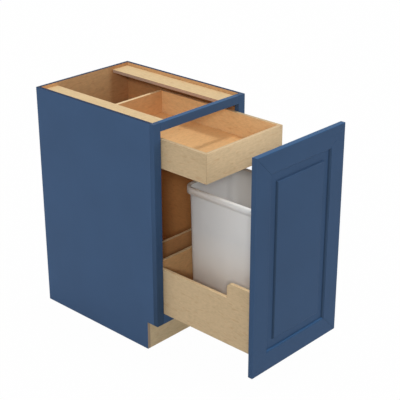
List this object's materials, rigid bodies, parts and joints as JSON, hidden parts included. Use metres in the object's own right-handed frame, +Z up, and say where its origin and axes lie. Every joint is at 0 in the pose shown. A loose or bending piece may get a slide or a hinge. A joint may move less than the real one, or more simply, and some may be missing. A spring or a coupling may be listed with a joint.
{
  "type": "pull-out trash cabinet",
  "caption": "Framed kitchen base cabinet whose full-height raised-panel door pulls out on undermount slides with a waste bin, and a shallow wooden inner drawer above the bin.",
  "frame": {"origin": "on the floor, at the middle of the footprint of the cabinet with its pull-out open as pictured", "axes": "+Z up; +Y from the door to the wall, along the pull-out's travel; +X to the right of someone who faces the door"},
  "size_m": [0.4572, 1.0528, 0.8763],
  "materials": {
    "blue_paint": "satin navy blue paint on wood",
    "natural_maple": "clear satin lacquer on maple",
    "zinc_steel": "zinc plated folded sheet",
    "bin_plastic": "moulded light grey plastic",
    "clip_plastic": "moulded dark grey plastic",
    "bumper_plastic": "clear soft dome"
  },
  "bodies": {
    "cabinet": {"back_panel": "blue_paint", "side_panel_left": "blue_paint", "side_panel_right": "blue_paint", "floor_panel": "natural_maple", "toe_kick_board": "natural_maple", "top_strip_left": "natural_maple", "top_strip_right": "natural_maple", "face_stile_left": "blue_paint", "face_stile_right": "blue_paint", "face_top_rail": "blue_paint", "face_bottom_rail": "blue_paint", "lower_slide_cleat_left": "natural_maple", "lower_slide_cleat_right": "natural_maple", "upper_slide_cleat_left": "natural_maple", "upper_slide_cleat_right": "natural_maple", "lower_slide_runner_left": "zinc_steel", "lower_slide_runner_right": "zinc_steel", "upper_slide_runner_left": "zinc_steel", "upper_slide_runner_right": "zinc_steel"},
    "pullout": {"door_stile_left": "blue_paint", "door_stile_right": "blue_paint", "door_top_rail": "blue_paint", "door_bottom_rail": "blue_paint", "door_panel": "blue_paint", "door_bumper_top_left": "bumper_plastic", "door_bumper_top_right": "bumper_plastic", "door_bumper_bottom_left": "bumper_plastic", "door_bumper_bottom_right": "bumper_plastic", "pullout_side_left": "natural_maple", "pullout_side_right": "natural_maple", "pullout_front_board": "natural_maple", "pullout_back_board": "natural_maple", "pullout_bottom": "natural_maple", "pullout_divider": "natural_maple", "lower_slide_drawer_member_left": "zinc_steel", "lower_slide_drawer_member_right": "zinc_steel", "lower_lock_clip_left": "clip_plastic", "lower_lock_clip_right": "clip_plastic"},
    "bin": {"waste_bin": "bin_plastic"},
    "inner_drawer": {"inner_drawer_side_left": "natural_maple", "inner_drawer_side_right": "natural_maple", "inner_drawer_front": "natural_maple", "inner_drawer_back": "natural_maple", "inner_drawer_bottom": "natural_maple", "upper_slide_drawer_member_left": "zinc_steel", "upper_slide_drawer_member_right": "zinc_steel", "upper_lock_clip_left": "clip_plastic", "upper_lock_clip_right": "clip_plastic"},
    "lower_slide_middles": {"lower_slide_middle_left": "zinc_steel", "lower_slide_middle_right": "zinc_steel"},
    "upper_slide_middles": {"upper_slide_middle_left": "zinc_steel", "upper_slide_middle_right": "zinc_steel"},
    "lower_lever_left": {"lower_lock_lever_left": "clip_plastic"},
    "lower_lever_right": {"lower_lock_lever_right": "clip_plastic"},
    "upper_lever_left": {"upper_lock_lever_left": "clip_plastic"},
    "upper_lever_right": {"upper_lock_lever_right": "clip_plastic"}
  },
  "joints": [
    {"name": "trash_pullout_slide", "type": "slide", "parent": "cabinet", "child": "pullout", "axis": [0, -1, 0], "range_m": [-0.422, 0.1114]},
    {"name": "inner_drawer_slide", "type": "slide", "parent": "cabinet", "child": "inner_drawer", "axis": [0, -1, 0], "range_m": [-0.2045, 0.3289]},
    {"name": "lower_slide_middle_travel", "type": "slide", "parent": "cabinet", "child": "lower_slide_middles", "axis": [0, -1, 0], "range_m": [-0.211, 0.0557]},
    {"name": "upper_slide_middle_travel", "type": "slide", "parent": "cabinet", "child": "upper_slide_middles", "axis": [0, -1, 0], "range_m": [-0.1023, 0.1645]},
    {"name": "bin_lift", "type": "slide", "parent": "pullout", "child": "bin", "axis": [0, 0, 1], "range_m": [0, 0.06]},
    {"name": "lower_lever_left_turn", "type": "hinge", "parent": "pullout", "child": "lower_lever_left", "pos_m": [-0.12865, -0.48638, 0.1585], "axis": [0, 0, 1], "range_deg": [0, 8]},
    {"name": "lower_lever_right_turn", "type": "hinge", "parent": "pullout", "child": "lower_lever_right", "pos_m": [0.12865, -0.48638, 0.1585], "axis": [0, 0, -1], "range_deg": [0, 8]},
    {"name": "upper_lever_left_turn", "type": "hinge", "parent": "inner_drawer", "child": "upper_lever_left", "pos_m": [-0.12865, -0.26698, 0.7185], "axis": [0, 0, 1], "range_deg": [0, 8]},
    {"name": "upper_lever_right_turn", "type": "hinge", "parent": "inner_drawer", "child": "upper_lever_right", "pos_m": [0.12865, -0.26698, 0.7185], "axis": [0, 0, -1], "range_deg": [0, 8]}
  ],
  "couplings": [
    {"joint": "inner_drawer_slide", "follows": "trash_pullout_slide", "ratio": 0.4845},
    {"joint": "lower_slide_middle_travel", "follows": "trash_pullout_slide", "ratio": 0.5},
    {"joint": "upper_slide_middle_travel", "follows": "trash_pullout_slide", "ratio": 0.24225},
    {"joint": "lower_lever_right_turn", "follows": "lower_lever_left_turn", "ratio": 1},
    {"joint": "upper_lever_right_turn", "follows": "upper_lever_left_turn", "ratio": 1}
  ]
}
